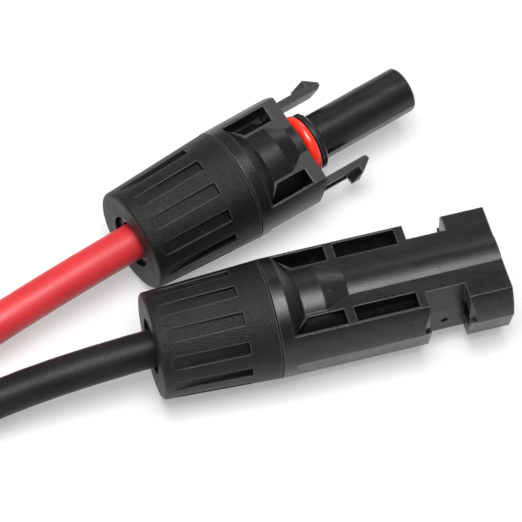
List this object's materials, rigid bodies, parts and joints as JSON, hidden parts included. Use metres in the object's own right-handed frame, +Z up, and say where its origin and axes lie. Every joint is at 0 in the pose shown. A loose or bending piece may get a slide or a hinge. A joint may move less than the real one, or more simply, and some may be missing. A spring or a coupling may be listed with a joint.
{
  "type": "solar cable connector",
  "caption": "Unmated photovoltaic cable connector pair: a windowed socket half on a black lead and a latch-armed plug half with an o-ring on a red lead, each with a ribbed cable nut.",
  "frame": {"origin": "centre of the socket half's mating mouth, on its axis", "axes": "+X out of the socket half's mouth along its axis, +Z up, away from the surface that the connectors lie on"},
  "size_m": [0.1811, 0.065, 0.019],
  "materials": {
    "housing_plastic": "moulded, satin",
    "nut_plastic": "moulded, fine spark-eroded grain",
    "collet_plastic": "moulded, matte",
    "seal_rubber": "matte silicone",
    "o_ring_rubber": "glossy silicone",
    "tinned_contact": "tin-plated copper",
    "spring_metal": "spring steel",
    "tinned_strands": "tinned fine copper strands",
    "inner_insulation": "cross-linked polyolefin",
    "black_jacket": "cross-linked jacket, fine extrusion marks",
    "red_jacket": "cross-linked jacket, fine extrusion marks"
  },
  "bodies": {
    "socket_half": {"socket_housing": "housing_plastic", "socket_pin_contact": "tinned_contact", "socket_contact_lance": "spring_metal", "socket_seal": "seal_rubber", "socket_conductor": "tinned_strands", "socket_inner_insulation": "inner_insulation", "black_lead": "black_jacket", "black_lead_coil": "black_jacket", "black_lead_tail": "black_jacket", "black_bare_insulation": "inner_insulation", "black_bare_strands": "tinned_strands"},
    "socket_clamp": {"socket_collet": "collet_plastic"},
    "socket_nut": {"socket_nut": "nut_plastic"},
    "plug_half": {"plug_housing": "housing_plastic", "o_ring": "o_ring_rubber", "plug_socket_contact": "tinned_contact", "plug_contact_spring": "spring_metal", "plug_contact_lance": "spring_metal", "plug_seal": "seal_rubber", "plug_conductor": "tinned_strands", "plug_inner_insulation": "inner_insulation", "red_lead": "red_jacket", "red_lead_coil": "red_jacket", "red_lead_tail": "red_jacket", "red_bare_insulation": "inner_insulation", "red_bare_strands": "tinned_strands"},
    "plug_clamp": {"plug_collet": "collet_plastic"},
    "plug_nut": {"plug_nut": "nut_plastic"},
    "latch_far": {"latch_arm_far": "housing_plastic"},
    "latch_near": {"latch_arm_near": "housing_plastic"}
  },
  "joints": [
    {"name": "plug_lift", "type": "slide", "parent": "socket_half", "child": "plug_half", "axis": [0, 0, 1], "range_m": [0, 0.05]},
    {"name": "socket_clamp_slide", "type": "slide", "parent": "socket_half", "child": "socket_clamp", "axis": [-1, 0, 0], "range_m": [0, 0.0046]},
    {"name": "socket_nut_turn", "type": "hinge", "parent": "socket_clamp", "child": "socket_nut", "pos_m": [-0.056, 0, 0], "axis": [-1, 0, 0], "range_deg": [0, 1080]},
    {"name": "plug_clamp_slide", "type": "slide", "parent": "plug_half", "child": "plug_clamp", "axis": [-0.9455, -0.3256, 0], "range_m": [0, 0.0046]},
    {"name": "plug_nut_turn", "type": "hinge", "parent": "plug_clamp", "child": "plug_nut", "pos_m": [-0.0541, 0.0198, 0], "axis": [-0.9455, -0.3256, 0], "range_deg": [0, 1080]},
    {"name": "latch_far_flex", "type": "hinge", "parent": "plug_half", "child": "latch_far", "pos_m": [-0.02683, 0.03657, 0.00213], "axis": [-0.0952, 0.2764, -0.9563], "range_deg": [0, 8.5], "stiffness_Nm_per_rad": 0.02},
    {"name": "latch_near_flex", "type": "hinge", "parent": "plug_half", "child": "latch_near", "pos_m": [-0.02228, 0.02337, -0.00213], "axis": [0.0952, -0.2764, 0.9563], "range_deg": [0, 8.5], "stiffness_Nm_per_rad": 0.02}
  ],
  "couplings": [
    {"joint": "socket_clamp_slide", "follows": "socket_nut_turn", "m_per_rad": 0.0002387},
    {"joint": "plug_clamp_slide", "follows": "plug_nut_turn", "m_per_rad": 0.0002387}
  ]
}
